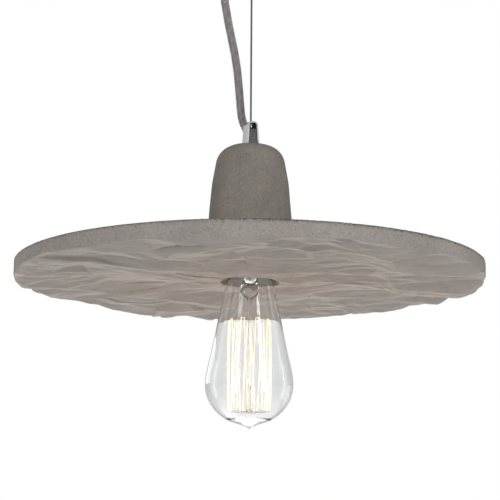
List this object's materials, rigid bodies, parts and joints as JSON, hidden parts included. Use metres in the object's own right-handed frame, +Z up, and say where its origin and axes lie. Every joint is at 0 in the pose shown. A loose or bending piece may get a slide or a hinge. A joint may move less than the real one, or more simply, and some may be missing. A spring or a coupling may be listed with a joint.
{
  "type": "pendant ceiling light",
  "caption": "Pendant light: a flat concrete disc shade under a bell-shaped concrete cap, hung on a steel wire with a textile cord, and a bare filament bulb below.",
  "frame": {"origin": "centre of the ceiling bar's top face, on the ceiling", "axes": "+Z up, away from the lamp; the lamp hangs along -Z; the supply cord lies towards -X and a little towards +Y; the front is -Y"},
  "size_m": [0.341, 0.341, 0.3786],
  "materials": {
    "disc_concrete": "matt, porous, hand-cast",
    "bell_concrete": "matt, fine-grained",
    "polished_metal": "polished",
    "plain_steel": "zinc plated",
    "cup_metal": "satin",
    "wire_steel": "stranded",
    "textile": "braided",
    "black_plastic": "moulded",
    "white_nylon": "moulded",
    "core_plastic": "extruded",
    "brass": "rolled",
    "porcelain": "unglazed",
    "clear_glass": "clear",
    "stem_glass": "clear",
    "black_glass": "fused",
    "support_wire": "drawn",
    "glowing_filament": "glowing"
  },
  "bodies": {
    "root": {"ceiling_cup": "cup_metal", "ceiling_bar": "plain_steel", "cup_screws": "polished_metal", "gripper_barrel": "polished_metal", "gripper_nut": "plain_steel", "barrel_cap": "plain_steel", "cord_bush": "black_plastic"},
    "ball_seat": {"seat_ring": "white_nylon"},
    "lamp": {"suspension_wire": "wire_steel", "wire_ball": "wire_steel", "wire_stop": "wire_steel", "stirrup": "polished_metal", "crown_plate": "plain_steel", "foot_screws": "plain_steel", "cord_grip": "black_plastic", "supply_cord": "textile", "terminal_block": "white_nylon", "terminal_tubes": "brass", "terminal_screws": "plain_steel", "supply_cores": "core_plastic", "concrete_bell": "bell_concrete", "threaded_nipple": "plain_steel", "plate_nut": "plain_steel", "strap_nut": "plain_steel", "disc_strap": "plain_steel", "concrete_disc": "disc_concrete", "lampholder_skirt": "black_plastic", "lampholder_cap": "black_plastic", "holder_insert": "porcelain", "screw_shell": "brass", "centre_contact": "brass", "holder_terminals": "brass", "holder_cores": "core_plastic"},
    "bulb": {"bulb_glass": "clear_glass", "bulb_cap": "brass", "cap_insulator": "black_glass", "cap_contact": "plain_steel", "glass_stem": "stem_glass", "filament": "glowing_filament", "filament_supports": "support_wire", "lead_wires": "support_wire"}
  },
  "joints": [
    {"name": "swing_fore_aft", "type": "hinge", "parent": "root", "child": "ball_seat", "pos_m": [0, 0, -0.034], "axis": [1, 0, 0], "range_deg": [-10, 10]},
    {"name": "swing_sideways", "type": "hinge", "parent": "ball_seat", "child": "lamp", "pos_m": [0, 0, -0.034], "axis": [0, 1, 0], "range_deg": [-10, 10]},
    {"name": "bulb_turn", "type": "hinge", "parent": "lamp", "child": "bulb", "pos_m": [0, 0, -0.272], "axis": [0, 0, 1], "range_deg": [-810, 0]}
  ]
}
